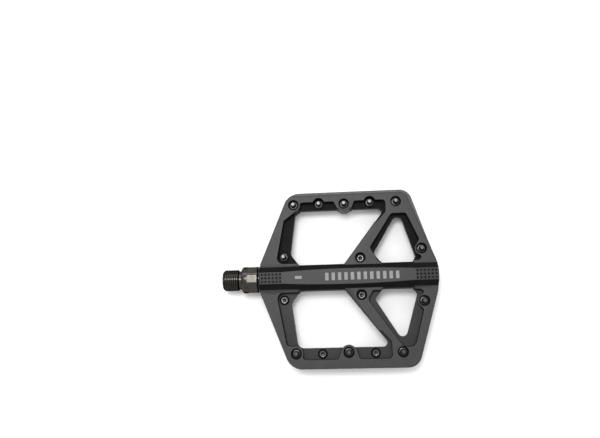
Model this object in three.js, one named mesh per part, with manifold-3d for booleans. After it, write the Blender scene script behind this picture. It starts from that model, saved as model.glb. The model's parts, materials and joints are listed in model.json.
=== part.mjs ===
// A flat platform pedal for a bicycle: a glass-filled nylon platform that turns on a steel spindle.
// Millimetres. X runs along the spindle from the crank end (-X) to the outer end (+X), +Z is up.
// The platform looks the same after half a turn about X, so the underside repeats the top.

import * as THREE from 'three';
import { mergeVertices } from 'three/addons/utils/BufferGeometryUtils.js';
import Module from 'manifold-3d';

const wasm = await Module();
wasm.setup();

// ---- driving dimensions ----

const SHIFT_X = 12.8; // puts the middle of the whole pedal at the origin
const FRAME_HALF_WIDTH = 59.5; // from the spindle line to the outside of a rail
const FRAME_HALF_THICK = 6; // the platform is 12 thick
const LEDGE_Z = 2; // floor of the recesses, measured from the middle plane
const RAIL_SLOPE = 4.1; // how far the sloped side of a rail comes in at the top
const RAIL_SLOPE_LEVELS = [[6, 1], [2.3, 0.36], [-2.3, 0.06], [-6, 0]]; // height, share of the slope
const INNER_END_X = -58.8; // crank end of the platform
const OUTER_END_X = 58.8; // outer end of the platform
const OUTER_END_ARC = 60; // radius of the gently rounded outer end
const BARREL_HALF_HEIGHT = 8.8;
const BARREL_HALF_WIDTH = 8.4;
const BARREL_SHOULDER_Z = 5.4; // where the barrel's upright sides begin
const BARREL_FLAT_MIDDLE = 5.1; // half width of the flat top, halfway along
const BARREL_FLAT_END = 3.8; // half width of the flat top, at both ends
const BARREL_TAPER_X = 44; // the flat top has its end width from here outwards
const BOSS_TOP_RADIUS = 3.9;
const BOSS_MIDDLE_RADIUS = 4.9;
const OUTER_BOSS_RADIUS = 4.4;

const THREAD_RADIUS = 7.14; // 9/16 inch by 20 threads per inch
const THREAD_ROOT_RADIUS = 6.3;
const SPINDLE_END_X = -84.4;
const THREAD_END_X = -72.8;
const COLLAR_X = -71.4;
const COLLAR_FLATS_X = -68;
const COLLAR_END_X = -60.5;
const COLLAR_RADIUS = 8.9;
const COLLAR_CHAMFER = 0.9;
const COLLAR_FLATS = 8; // number of wrench flats
const COLLAR_FLAT_DISTANCE = 8.5; // from the axis to a wrench flat
const RELIEF_RADIUS = 7.3; // inside this the collar's face is relieved, clear of the thread
const RELIEF_DEPTH = 0.15;
const SEAL_JOURNAL_RADIUS = 6;
const SPINDLE_KEY_FLATS = 8; // hexagon socket in the crank end, across flats
const SPINDLE_KEY_DEPTH = 9;
const BUSH_X = [-55, -40];
const BUSH_JOURNAL_RADIUS = 5;
const BUSH_WALL = 1.2;
const SHAFT_RADIUS = 4.2;
const BEARING_SHOULDER_X = 30;
const BEARING_JOURNAL_RADIUS = 3;
const BEARING_WIDTH = 5;
const BEARING_OUTER_RADIUS = 6.5;
const BORE_MIDDLE_RADIUS = 5.6; // clears the shaft between the bush and the bearings
const BEARING_X = [30.3, 35.6];
const NUT_X = [42.1, 46.9];
const STUD_END_X = 48.2;
const NUT_FLATS = 9;
const WASHER_THICK = 0.9;
const CAP_X = [50.6, 57.8];
const CAP_RADIUS = 6.9;
const CAP_KEY_FLATS = 6;
const CAP_GROOVE_X = [52, 53.6];
const CAP_GROOVE_DEPTH = 0.9;
const SEAL_X = [-60.2, -59.1];
const SEAL_NOSE_X = -56.2;
const SEAL_SLEEVE_RADIUS = 7.05;

const RUN_GAP = 0.2; // radial gap where one piece turns in another
const FIT_GAP = 0.15; // radial gap between pieces that are pressed together
const CUT_MARGIN = 4; // how far a cutting body runs past the face it cuts

const PIN_SHANK_RADIUS = 2.05;
const PIN_FLANGE_FLATS = 5.4;
const PIN_FLANGE_THICK = 1.2;
const PIN_TIP_RADIUS = 1.5;
const PIN_HEIGHT = 5.6; // from the seat under the flange to the tip
const PIN_SHANK_LENGTH = 3.1;
const PIN_LONG_SHANK_LENGTH = 5.4;
const PIN_KEY_FLATS = 2.5;
const PIN_KEY_DEPTH = 2;
const PIN_COUNTERBORE_RADIUS = 3.3;
const PIN_HOLE_RADIUS = 2.2;
const BOSS_SEAT_Z = 3.4; // seat of a pin in a boss; the others sit on a ledge

// Pin places on one half of the platform, named by number along the rail; the other half mirrors them in Y.
// "both" takes a pin on each face, the others take one long pin through the platform.
const PIN_PLACES = [
  { name: '1', x: -35.6, y: 49.5, both: true },
  { name: '2', x: -18.5, y: 49.9, both: false },
  { name: '3', x: -1.4, y: 49.2, both: true },
  { name: '4', x: 16, y: 49.9, both: false },
  { name: '5', x: 33.4, y: 49.5, both: true },
  { name: 'inner', x: -43, y: 14.4, both: false },
  { name: 'brace', x: 8.3, y: 12.3, both: false },
  { name: 'outer', x: 48.8, y: 17.2, both: true },
];

function placeNamed(name) {
  return PIN_PLACES.find((place) => place.name === name);
}

const NYLON = { color: 0x2b2b2c, roughness: 0.62, metalness: 0 };
const SPINDLE_STEEL = { color: 0x4d4842, roughness: 0.32, metalness: 1 };
const PIN_STEEL = { color: 0x8e8e90, roughness: 0.35, metalness: 1 };
const BEARING_STEEL = { color: 0xb9babc, roughness: 0.22, metalness: 1 };
const BRONZE = { color: 0x8a6a42, roughness: 0.45, metalness: 1 };
const RUBBER = { color: 0x0d0d0e, roughness: 0.8, metalness: 0 };

// ---- helpers ----

const pedal = new THREE.Group();
pedal.position.x = SHIFT_X;

function solidOf(geometry) {
  const bare = geometry.clone();
  bare.deleteAttribute('normal');
  bare.deleteAttribute('uv');
  const merged = mergeVertices(bare, 1e-4);
  return new wasm.Manifold(new wasm.Mesh({
    numProp: 3,
    vertProperties: new Float32Array(merged.attributes.position.array),
    triVerts: new Uint32Array(merged.index.array),
  }));
}

function geometryOf(solid) {
  const mesh = solid.getMesh();
  const geometry = new THREE.BufferGeometry();
  geometry.setAttribute('position', new THREE.BufferAttribute(new Float32Array(mesh.vertProperties), 3));
  geometry.setIndex(new THREE.BufferAttribute(new Uint32Array(mesh.triVerts), 1));
  geometry.computeVertexNormals();
  return geometry;
}

function addPart(name, geometry, look) {
  const part = new THREE.Mesh(geometry, new THREE.MeshStandardMaterial(look));
  part.name = name;
  pedal.add(part);
  return part;
}

// Rounds the corners of a polygon given as [x, y, radius] rows, anticlockwise or clockwise.
function roundedOutline(corners, stepDegrees = 24) {
  const points = [];
  corners.forEach(([x, y, radius], i) => {
    const corner = new THREE.Vector2(x, y);
    if (!radius) {
      points.push(corner);
      return;
    }
    const before = corners[(i + corners.length - 1) % corners.length];
    const after = corners[(i + 1) % corners.length];
    const back = new THREE.Vector2(before[0] - x, before[1] - y).normalize();
    const ahead = new THREE.Vector2(after[0] - x, after[1] - y).normalize();
    const half = Math.acos(THREE.MathUtils.clamp(back.dot(ahead), -1, 1)) / 2;
    const middle = back.clone().add(ahead).normalize();
    const centre = corner.clone().addScaledVector(middle, radius / Math.sin(half));
    const first = corner.clone().addScaledVector(back, radius / Math.tan(half)).sub(centre);
    const last = corner.clone().addScaledVector(ahead, radius / Math.tan(half)).sub(centre);
    const turn = Math.atan2(first.cross(last), first.dot(last));
    const steps = Math.max(1, Math.ceil(Math.abs(THREE.MathUtils.radToDeg(turn)) / stepDegrees));
    for (let k = 0; k <= steps; k += 1) {
      points.push(first.clone().rotateAround(new THREE.Vector2(), (turn * k) / steps).add(centre));
    }
  });
  return points;
}

// A closed body through rings of points: rings[0] is its bottom and the last ring its top.
// Every ring has the same number of points, anticlockwise when seen from the last ring's side.
function loft(rings, capPlane) {
  const count = rings[0].length;
  const positions = rings.flat().flatMap((p) => [p.x, p.y, p.z]);
  const index = [];
  for (let r = 0; r + 1 < rings.length; r += 1) {
    for (let i = 0; i < count; i += 1) {
      const a = r * count + i;
      const b = r * count + ((i + 1) % count);
      index.push(a, b, b + count, a, b + count, a + count);
    }
  }
  const flat = (ring) => THREE.ShapeUtils.triangulateShape(ring.map(capPlane), []);
  const top = (rings.length - 1) * count;
  flat(rings[0]).forEach(([a, b, c]) => index.push(a, c, b));
  flat(rings[rings.length - 1]).forEach(([a, b, c]) => index.push(top + a, top + b, top + c));
  const geometry = new THREE.BufferGeometry();
  geometry.setAttribute('position', new THREE.Float32BufferAttribute(positions, 3));
  geometry.setIndex(index);
  return geometry;
}

const ontoXY = (p) => new THREE.Vector2(p.x, p.y);
const ontoYZ = (p) => new THREE.Vector2(p.y, p.z);

function prism(points, low, high) {
  const shape = new THREE.Shape(points);
  const geometry = new THREE.ExtrudeGeometry(shape, { depth: high - low, bevelEnabled: false });
  return geometry.translate(0, 0, low);
}

// Turns a lathe profile of [x, radius] rows about the X axis.
function turned(profile, segments = 24) {
  const points = profile.map(([x, radius]) => new THREE.Vector2(radius, x));
  return new THREE.LatheGeometry(points, segments).rotateZ(-Math.PI / 2);
}

function ring(x0, x1, inner, outer, segments = 24) {
  return turned([[x0, inner], [x0, outer], [x1, outer], [x1, inner], [x0, inner]], segments);
}

function rod(x0, x1, radius, segments = 24) {
  return turned([[x0, 0], [x0, radius], [x1, radius], [x1, 0]], segments);
}

// A hexagonal rod along X.
function hexRod(x0, x1, acrossFlats) {
  return rod(x0, x1, acrossFlats / Math.sqrt(3), 6);
}

function upright(x, y, low, high, radius, segments = 16) {
  const geometry = new THREE.CylinderGeometry(radius, radius, high - low, segments);
  return geometry.rotateX(Math.PI / 2).translate(x, y, (low + high) / 2);
}

// A body that stands for the top half turned about X, which the underside repeats.
function halfTurn(solid) {
  return solid.rotate([180, 0, 0]);
}

function joined(solids) {
  return solids.reduce((all, one) => all.add(one));
}

// ---- platform ----

// Half of the platform's outline, from the crank end to the outer end, on the +Y side.
function halfOutline() {
  const corners = [
    [INNER_END_X, 0, 0],
    [INNER_END_X, 9.6, 1.5],
    [-39.2, FRAME_HALF_WIDTH, 11.5],
    [43, FRAME_HALF_WIDTH, 9],
    [57.6, 12, 0],
    [57.6, 0, 0],
  ];
  const points = roundedOutline(corners, 12).slice(1, -1);
  for (const y of [9, 6, 3]) {
    points.push(new THREE.Vector2(OUTER_END_X - (y * y) / (2 * OUTER_END_ARC), y));
  }
  return points;
}

// How much of the rail's slope a point of the outline takes: all of it along the rail and
// round the outer corner, fading out towards the inner corner and the outer end.
function slopeShare(point) {
  const alongRail = THREE.MathUtils.clamp((point.x + 45) / 14, 0, 1);
  const alongOuterEdge = THREE.MathUtils.clamp((point.y - 10) / 22, 0, 1);
  return Math.min(alongRail, alongOuterEdge);
}

function platformBlank() {
  const half = halfOutline();
  const ends = [new THREE.Vector2(OUTER_END_X, 0)];
  const lower = half.map((p) => new THREE.Vector2(p.x, -p.y));
  const outline = [...lower, ...ends, ...half.slice().reverse(), new THREE.Vector2(INNER_END_X, 0)];
  const count = outline.length;
  const rings = RAIL_SLOPE_LEVELS.map(([height]) => height).reverse().map((height) => {
    const share = (z) => RAIL_SLOPE_LEVELS.find(([level]) => level === z)[1];
    return outline.map((point, i) => {
      const before = outline[(i + count - 1) % count];
      const after = outline[(i + 1) % count];
      const along = after.clone().sub(before).normalize();
      const outward = new THREE.Vector2(along.y, -along.x);
      const inset = RAIL_SLOPE * share(point.y > 0 ? height : -height)
        * slopeShare(new THREE.Vector2(point.x, Math.abs(point.y)));
      return new THREE.Vector3(point.x - outward.x * inset, point.y - outward.y * inset, height);
    });
  });
  return solidOf(loft(rings, ontoXY));
}

// The two windows of the +Y half, cut right through.
const LARGE_WINDOW = [
  [-31.8, 7.5, 0], [-3.2, 7.5, 0], [26.5, 46, 2.6], [-34.6, 46, 4.2], [-38.6, 16.2, 2.5],
];
const SMALL_WINDOW = [
  [23.2, 7.5, 0], [42, 7.5, 0], [44.9, 12.4, 2.5], [35, 44.6, 3.5], [17, 15.2, 2],
];

// The recesses of the top face, beside the windows. They stop at a low rim along the barrel.
// The +Y side, where the rail is sloped, has narrower ones than the -Y side; y is given here
// as a distance from the spindle line. railCorners are the corners of the first recess beside the
// rail: on the sloped side a slanted edge under pin 1 cuts it off.
const RIM_Y = 9.7;
function recesses(railCorners, railEdge, smallWindowRecess) {
  return [
    [[-33, RIM_Y, 0], [-30, 14, 0], ...railCorners, [-47.9, RIM_Y, 4]],
    [[-32, 44, 0], [-5.2, 44, 0], [-8.4, railEdge, 1.6], [-31, railEdge, 2.4]],
    [[3, 44, 0], [20, 36, 0], [26.1, 42.6, 1.5], [26.4, railEdge, 2.2], [5.8, railEdge, 1.6]],
    smallWindowRecess,
  ];
}
const SLOPED_SIDE_RECESSES = recesses([[-30, 47.4, 0], [-31.2, 47.1, 0], [-42.2, 38.7, 1.6]], 50.8, [
  [20, RIM_Y, 0], [46.8, RIM_Y, 1.2], [48.4, 11.4, 1], [44.4, 16, 0], [44.4, 18.8, 0],
  [47.4, 23.2, 1.2], [39.6, 41.2, 2.4], [30, 41.2, 2.4], [15, 18.8, 2.2],
]);
const UPRIGHT_SIDE_RECESSES = recesses([[-30, 40, 0], [-32, 44.4, 0], [-41.5, 44.4, 2.6]], 53.3, [
  [17.8, RIM_Y, 0], [46.8, RIM_Y, 1.2], [48.8, 11.4, 1], [44.6, 16, 0], [44.6, 18.8, 0],
  [47.9, 23, 1.2], [41.3, 46.2, 4.4], [34, 46.2, 4.4], [12.6, 16, 3],
]);

function mirrored(points) {
  return points.map((p) => new THREE.Vector2(p.x, -p.y)).reverse();
}

// Half width of the barrel's flat top: widest halfway along, narrow at both ends.
function flatHalfWidth(x) {
  const along = THREE.MathUtils.clamp(Math.abs(x) / BARREL_TAPER_X, 0, 1);
  return BARREL_FLAT_MIDDLE + (BARREL_FLAT_END - BARREL_FLAT_MIDDLE) * along * along;
}

function barrel() {
  const taper = [-1, -2 / 3, -1 / 3, 0, 1 / 3, 2 / 3, 1].map((share) => share * BARREL_TAPER_X);
  const stations = [INNER_END_X, ...taper, OUTER_END_X];
  const rings = stations.map((x) => {
    const w = flatHalfWidth(x);
    const quarter = [[BARREL_HALF_WIDTH, BARREL_SHOULDER_Z], [w, BARREL_HALF_HEIGHT]];
    const section = [
      ...quarter,
      ...quarter.slice().reverse().map(([y, z]) => [-y, z]),
      ...quarter.map(([y, z]) => [-y, -z]),
      ...quarter.slice().reverse().map(([y, z]) => [y, -z]),
    ];
    return section.map(([y, z]) => new THREE.Vector3(x, y, z));
  });
  return solidOf(loft(rings, ontoYZ));
}

// The outer end of the barrel follows the rounded end of the platform.
function endTrim() {
  const outline = [];
  const halfSpan = 12;
  for (let y = -halfSpan; y <= halfSpan; y += 3) {
    outline.push(new THREE.Vector2(OUTER_END_X - (y * y) / (2 * OUTER_END_ARC), y));
  }
  outline.push(new THREE.Vector2(OUTER_END_X + CUT_MARGIN, halfSpan));
  outline.push(new THREE.Vector2(OUTER_END_X + CUT_MARGIN, -halfSpan));
  const reach = BARREL_HALF_HEIGHT + CUT_MARGIN;
  return solidOf(prism(outline.reverse(), -reach, reach));
}

function railBoss(side) {
  const place = placeNamed('3');
  const half = new THREE.CylinderGeometry(BOSS_TOP_RADIUS, BOSS_MIDDLE_RADIUS, FRAME_HALF_THICK, 20);
  const upper = solidOf(half.rotateX(Math.PI / 2).translate(place.x, side * place.y, FRAME_HALF_THICK / 2));
  return upper.add(upper.mirror([0, 0, 1]));
}

function outerBoss(side) {
  const place = placeNamed('outer');
  return solidOf(upright(
    place.x, side * place.y, -FRAME_HALF_THICK, FRAME_HALF_THICK, OUTER_BOSS_RADIUS, 20,
  ));
}

// The bore that holds the seal, bush, bearings and cap, open at both ends.
function bore() {
  const start = INNER_END_X - CUT_MARGIN;
  const end = OUTER_END_X + CUT_MARGIN;
  const sealSeat = SEAL_SLEEVE_RADIUS + FIT_GAP;
  const sealStep = SEAL_NOSE_X + 0.4;
  const bushSeat = BUSH_JOURNAL_RADIUS + BUSH_WALL + FIT_GAP;
  const bushStep = BUSH_X[1] + 0.4;
  const bearingSeat = BEARING_OUTER_RADIUS + FIT_GAP;
  const bearingStep = BEARING_X[0] - 0.2;
  const capSeat = CAP_RADIUS + RUN_GAP;
  const capStep = CAP_X[0] - 0.2;
  return solidOf(turned([
    [start, 0], [start, sealSeat], [sealStep, sealSeat], [sealStep, bushSeat],
    [bushStep, bushSeat], [bushStep, BORE_MIDDLE_RADIUS], [bearingStep, BORE_MIDDLE_RADIUS],
    [bearingStep, bearingSeat], [capStep, bearingSeat], [capStep, capSeat],
    [end, capSeat], [end, 0],
  ]));
}

// Which way the pins point at a place: 1 up, -1 down.
function pinDirections(place, side) {
  if (place.both) return [1, -1];
  if (place.name === 'brace') return [-1];
  return [side];
}

function seatHeight(place) {
  return place.both || place.name === 'brace' ? BOSS_SEAT_Z : LEDGE_Z;
}

function pinHoles() {
  const reach = BARREL_HALF_HEIGHT + CUT_MARGIN;
  const cuts = [];
  for (const side of [1, -1]) {
    for (const place of PIN_PLACES) {
      const seat = seatHeight(place);
      const at = [place.x, side * place.y];
      cuts.push(solidOf(upright(...at, seat, reach, PIN_COUNTERBORE_RADIUS, 14)));
      cuts.push(solidOf(upright(...at, -reach, -seat, PIN_COUNTERBORE_RADIUS, 14)));
      cuts.push(solidOf(upright(...at, -seat - 1, seat + 1, PIN_HOLE_RADIUS, 9)));
    }
  }
  return joined(cuts);
}

function platform() {
  const through = FRAME_HALF_THICK + CUT_MARGIN;
  const windows = [];
  for (const corners of [LARGE_WINDOW, SMALL_WINDOW]) {
    const outline = roundedOutline(corners);
    windows.push(solidOf(prism(outline, -through, through)));
    windows.push(solidOf(prism(mirrored(outline), -through, through)));
  }
  const topRecesses = joined([
    ...SLOPED_SIDE_RECESSES.map((corners) => roundedOutline(corners)),
    ...UPRIGHT_SIDE_RECESSES.map((corners) => mirrored(roundedOutline(corners))),
  ].map((outline) => solidOf(prism(outline, LEDGE_Z, through))));
  let body = platformBlank()
    .subtract(joined(windows))
    .subtract(topRecesses)
    .subtract(halfTurn(topRecesses));
  body = body.add(joined([railBoss(1), railBoss(-1), outerBoss(1), outerBoss(-1)]));
  body = body.add(barrel()).subtract(endTrim());
  return body.subtract(pinHoles()).subtract(bore());
}

addPart('platform', geometryOf(platform()), NYLON);

// ---- spindle ----

function spindle() {
  const chamfer = 1.2;
  const profile = [
    [SPINDLE_END_X, 0], [SPINDLE_END_X, THREAD_RADIUS - chamfer],
    [SPINDLE_END_X + chamfer, THREAD_RADIUS], [THREAD_END_X - 0.5, THREAD_RADIUS],
    [THREAD_END_X, THREAD_ROOT_RADIUS], [COLLAR_X + RELIEF_DEPTH, THREAD_ROOT_RADIUS],
    [COLLAR_X + RELIEF_DEPTH, RELIEF_RADIUS], [COLLAR_X, RELIEF_RADIUS],
    [COLLAR_X, COLLAR_RADIUS - COLLAR_CHAMFER], [COLLAR_X + COLLAR_CHAMFER, COLLAR_RADIUS],
    [COLLAR_END_X - 0.5, COLLAR_RADIUS], [COLLAR_END_X, COLLAR_RADIUS - 0.5],
    [COLLAR_END_X, SEAL_JOURNAL_RADIUS], [BUSH_X[0] - 0.4, SEAL_JOURNAL_RADIUS],
    [BUSH_X[0] - 0.4, BUSH_JOURNAL_RADIUS],
    [BUSH_X[1] + 1, BUSH_JOURNAL_RADIUS], [BUSH_X[1] + 3, SHAFT_RADIUS],
    [BEARING_SHOULDER_X, SHAFT_RADIUS], [BEARING_SHOULDER_X, BEARING_JOURNAL_RADIUS],
    [STUD_END_X - 0.6, BEARING_JOURNAL_RADIUS], [STUD_END_X, BEARING_JOURNAL_RADIUS - 0.6],
    [STUD_END_X, 0],
  ];
  let body = solidOf(turned(profile));
  const flatLength = COLLAR_END_X - COLLAR_FLATS_X - 1.2;
  for (let k = 0; k < COLLAR_FLATS; k += 1) {
    const flat = new THREE.BoxGeometry(flatLength, COLLAR_RADIUS * 2, CUT_MARGIN);
    flat.translate((COLLAR_FLATS_X + COLLAR_END_X) / 2, 0, COLLAR_FLAT_DISTANCE + CUT_MARGIN / 2);
    flat.rotateX((k * 2 * Math.PI) / COLLAR_FLATS);
    body = body.subtract(solidOf(flat));
  }
  const socket = hexRod(SPINDLE_END_X - 1, SPINDLE_END_X + SPINDLE_KEY_DEPTH, SPINDLE_KEY_FLATS);
  return body.subtract(solidOf(socket));
}

addPart('spindle', geometryOf(spindle()), SPINDLE_STEEL);

// ---- seal, bush, bearings, nut and cap ----

const sealInner = SEAL_JOURNAL_RADIUS + RUN_GAP;
addPart('lip_seal', turned([
  [SEAL_X[0], sealInner], [SEAL_X[0], COLLAR_RADIUS - 0.4], [SEAL_X[0] + 0.4, COLLAR_RADIUS],
  [SEAL_X[1] - 0.1, COLLAR_RADIUS], [SEAL_X[1], COLLAR_RADIUS - 0.1],
  [SEAL_X[1], SEAL_SLEEVE_RADIUS], [SEAL_NOSE_X, SEAL_SLEEVE_RADIUS],
  [SEAL_NOSE_X, sealInner], [SEAL_X[0], sealInner],
]), RUBBER);

addPart('bush', ring(
  BUSH_X[0], BUSH_X[1], BUSH_JOURNAL_RADIUS + RUN_GAP, BUSH_JOURNAL_RADIUS + BUSH_WALL,
), BRONZE);

const INNER_RACE_RADIUS = 4.1;
const OUTER_RACE_RADIUS = 5.6;
const BALL_CIRCLE_RADIUS = 4.85;
const BALL_RADIUS = 0.62;
const BALL_COUNT = 7;

function ballCage(x) {
  const cage = solidOf(ring(x - 0.3, x + 0.3, BALL_CIRCLE_RADIUS - 0.35, BALL_CIRCLE_RADIUS + 0.35, 14));
  const balls = [];
  for (let k = 0; k < BALL_COUNT; k += 1) {
    const ball = new THREE.SphereGeometry(BALL_RADIUS, 6, 4).translate(x, 0, BALL_CIRCLE_RADIUS);
    balls.push(solidOf(ball.rotateX((k * 2 * Math.PI) / BALL_COUNT)));
  }
  return cage.add(joined(balls));
}

BEARING_X.forEach((x0, i) => {
  const x1 = x0 + BEARING_WIDTH;
  const label = i === 0 ? 'inner' : 'outer';
  addPart(`bearing_${label}_outer_race`, ring(
    x0, x1, OUTER_RACE_RADIUS, BEARING_OUTER_RADIUS,
  ), BEARING_STEEL);
  addPart(`bearing_${label}_inner_race`, ring(
    x0, x1, BEARING_JOURNAL_RADIUS + FIT_GAP, INNER_RACE_RADIUS,
  ), BEARING_STEEL);
  addPart(`bearing_${label}_ball_cage`, geometryOf(ballCage((x0 + x1) / 2)), BEARING_STEEL);
  const shieldInner = INNER_RACE_RADIUS + RUN_GAP;
  const shieldOuter = OUTER_RACE_RADIUS - FIT_GAP;
  addPart(`bearing_${label}_shield_a`, ring(x0 + 0.2, x0 + 0.8, shieldInner, shieldOuter), RUBBER);
  addPart(`bearing_${label}_shield_b`, ring(x1 - 0.8, x1 - 0.2, shieldInner, shieldOuter), RUBBER);
});

addPart('lock_washer', ring(
  NUT_X[0] - 0.3 - WASHER_THICK, NUT_X[0] - 0.3,
  BEARING_JOURNAL_RADIUS + FIT_GAP, INNER_RACE_RADIUS + 0.4,
), BEARING_STEEL);

const nutBlank = solidOf(hexRod(NUT_X[0], NUT_X[1], NUT_FLATS));
const nutBore = solidOf(rod(NUT_X[0] - 1, NUT_X[1] + 1, BEARING_JOURNAL_RADIUS + FIT_GAP));
addPart('lock_nut', geometryOf(nutBlank.subtract(nutBore)), BEARING_STEEL);

function endCap() {
  const [x0, x1] = CAP_X;
  const [groove0, groove1] = CAP_GROOVE_X;
  const grooveRadius = CAP_RADIUS - CAP_GROOVE_DEPTH;
  const body = solidOf(turned([
    [x0, 0], [x0, CAP_RADIUS], [groove0, CAP_RADIUS], [groove0, grooveRadius],
    [groove1, grooveRadius], [groove1, CAP_RADIUS], [x1 - 0.5, CAP_RADIUS],
    [x1, CAP_RADIUS - 0.5], [x1, 0],
  ]));
  return body.subtract(solidOf(hexRod(x1 - 3, x1 + 1, CAP_KEY_FLATS)));
}
addPart('end_cap', geometryOf(endCap()), NYLON);
addPart('end_cap_ring', ring(
  CAP_GROOVE_X[0] + 0.2, CAP_GROOVE_X[1] - 0.2, CAP_RADIUS - 0.7, CAP_RADIUS + 0.05,
), RUBBER);

// ---- pins ----

// One pin standing on z = 0 with its tip up and its shank below.
function pin(shankLength) {
  const hexagon = PIN_FLANGE_FLATS / Math.sqrt(3);
  const flange = new THREE.CylinderGeometry(hexagon, hexagon, PIN_FLANGE_THICK, 6);
  const stem = new THREE.LatheGeometry([
    [0, -shankLength], [PIN_SHANK_RADIUS, -shankLength], [PIN_SHANK_RADIUS, PIN_FLANGE_THICK + 0.1],
    [PIN_TIP_RADIUS, PIN_FLANGE_THICK + 0.5], [PIN_TIP_RADIUS, PIN_HEIGHT - 0.5],
    [PIN_TIP_RADIUS - 0.5, PIN_HEIGHT], [0, PIN_HEIGHT],
  ].map(([radius, height]) => new THREE.Vector2(radius, height)), 9);
  const socketRadius = PIN_KEY_FLATS / Math.sqrt(3);
  const socket = new THREE.CylinderGeometry(socketRadius, socketRadius, PIN_KEY_DEPTH + 1, 6);
  const body = solidOf(flange.translate(0, PIN_FLANGE_THICK / 2, 0))
    .add(solidOf(stem))
    .subtract(solidOf(socket.translate(0, -shankLength + (PIN_KEY_DEPTH - 1) / 2, 0)));
  return geometryOf(body.rotate([90, 0, 0]));
}

const shortPin = pin(PIN_SHANK_LENGTH);
const longPin = pin(PIN_LONG_SHANK_LENGTH);

for (const side of [1, -1]) {
  const rail = side > 0 ? 'a' : 'b';
  for (const place of PIN_PLACES) {
    for (const direction of pinDirections(place, side)) {
      const name = `pin_${rail}_${place.name}_${direction > 0 ? 'up' : 'down'}`;
      const part = addPart(name, place.both ? shortPin : longPin, PIN_STEEL);
      part.position.set(place.x, side * place.y, direction * seatHeight(place));
      part.rotation.x = direction > 0 ? 0 : Math.PI;
    }
  }
}

export default pedal;
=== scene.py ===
"""A flat bicycle pedal lying on a pale floor: every CAD node gets a finer piece with its own finish.

Shapes are in millimetres, measured along and from the spindle line, and are brought into the frame,
which is in metres, as each piece is finished.
"""

import json
import math

import bmesh
import bpy
from mathutils import Matrix, Vector


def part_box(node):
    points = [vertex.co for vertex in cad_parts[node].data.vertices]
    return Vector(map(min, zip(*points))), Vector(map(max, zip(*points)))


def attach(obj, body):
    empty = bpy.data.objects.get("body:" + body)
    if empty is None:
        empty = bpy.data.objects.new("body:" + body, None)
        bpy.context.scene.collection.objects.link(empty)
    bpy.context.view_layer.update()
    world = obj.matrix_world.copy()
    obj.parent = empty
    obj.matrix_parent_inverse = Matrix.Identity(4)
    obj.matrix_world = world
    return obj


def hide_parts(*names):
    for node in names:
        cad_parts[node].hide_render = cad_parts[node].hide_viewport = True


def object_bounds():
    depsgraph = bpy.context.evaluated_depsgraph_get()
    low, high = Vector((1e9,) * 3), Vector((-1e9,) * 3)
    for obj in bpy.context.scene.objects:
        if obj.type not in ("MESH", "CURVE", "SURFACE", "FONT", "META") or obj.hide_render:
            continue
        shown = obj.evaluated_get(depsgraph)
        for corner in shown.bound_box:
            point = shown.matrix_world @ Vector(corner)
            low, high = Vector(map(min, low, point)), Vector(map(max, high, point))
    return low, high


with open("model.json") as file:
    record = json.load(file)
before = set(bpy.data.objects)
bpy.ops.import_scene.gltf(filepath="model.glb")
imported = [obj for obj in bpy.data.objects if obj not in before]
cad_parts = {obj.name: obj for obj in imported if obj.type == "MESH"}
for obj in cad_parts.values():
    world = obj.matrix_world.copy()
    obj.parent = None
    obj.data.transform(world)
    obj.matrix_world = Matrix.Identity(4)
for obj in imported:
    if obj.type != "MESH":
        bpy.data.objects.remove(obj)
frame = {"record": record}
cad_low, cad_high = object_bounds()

MM = 0.001

# ---- sizes in millimetres ----

# A pair is (from, to): along X for a place, and from the inside to the outside for a ring.

HALF_WIDTH = 59.5
HALF_THICK = 6.0
LEDGE = 2.0  # floor of the recesses, from the middle plane
RAIL_SLOPE = 4.1  # how far the sloped side of a rail comes in at the top
# Rows of (height, how far in the sloped side is there, as a share of RAIL_SLOPE).
SLOPE_LEVELS = ((6.0, 1.0), (2.3, 0.36), (0.0, 0.18), (-2.3, 0.06), (-6.0, 0.0))
# Where the slope starts and where it is whole: along the rail, and out from the spindle line.
SLOPE_FADE_ALONG = (-45.0, -32.0)
SLOPE_FADE_ACROSS = (10.0, 32.0)
CRANK_END = -58.8
OUTER_END = 58.8
OUTER_END_ARC = 60.0
PAST_END = 4.0  # how far a cutter stands out past an end
RIM = 9.7  # the rim between the barrel and the recesses
EDGE_ROUNDING = 0.3
# The steps of a rounded edge, in units of its radius: rows of (distance below the face, distance in
# from the side).
EDGE_STEPS = ((0.0, 1.0), (0.134, 0.5), (0.5, 0.134), (1.0, 0.0))
# How a cutter opens out as it comes to a face, so that it leaves such an edge there: rows of (distance
# below the face, growth). The last row is above the face.
OPENING = (*EDGE_STEPS[:0:-1], (-0.3, 2.12))

BARREL_HEIGHT = 8.8
BARREL_HALF_WIDTH = 8.4
BARREL_SHOULDER = 5.4  # height where the barrel's sloped sides start
BARREL_FLAT_MIDDLE = 5.1  # half the width of its flat top at the middle of the pedal
BARREL_FLAT_END = 3.8  # and at its ends
BARREL_TAPER = 44.0  # how far from the middle the flat top goes on narrowing

SPINDLE_END = -84.4
SPINDLE_KEY = 4.0  # from the axis to a flat of the hexagon socket
SPINDLE_KEY_DEPTH = 9.0
THREAD_PITCH = 25.4 / 20
THREAD_CREST = 7.14
THREAD_ROOT = 6.15
THREAD_FLANK = (0.42, 0.88)  # as shares of the way from the middle of a crest to that of a root
THREAD_RUN_IN = 1.3
THREAD_RUN_OUT = 0.7
THREAD_END = -73.4
NECK = 6.15
COLLAR = -71.4
COLLAR_FLATS = (-67.6, -61.1)
COLLAR_END = -60.5
COLLAR_RADIUS = 8.9
COLLAR_FLAT_DISTANCE = 8.5  # from the axis to a wrench flat
SEAL = (-60.2, -59.1)
SEAL_NOSE = -56.2
SEAL_RADIUS = 8.9
SEAL_JOURNAL = 6.0
BUSH = (-55.0, -40.0)
BUSH_JOURNAL = 5.0
SHAFT = 4.2
BEARING_SHOULDER = 30.0
BEARING_JOURNAL = 3.0
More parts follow.
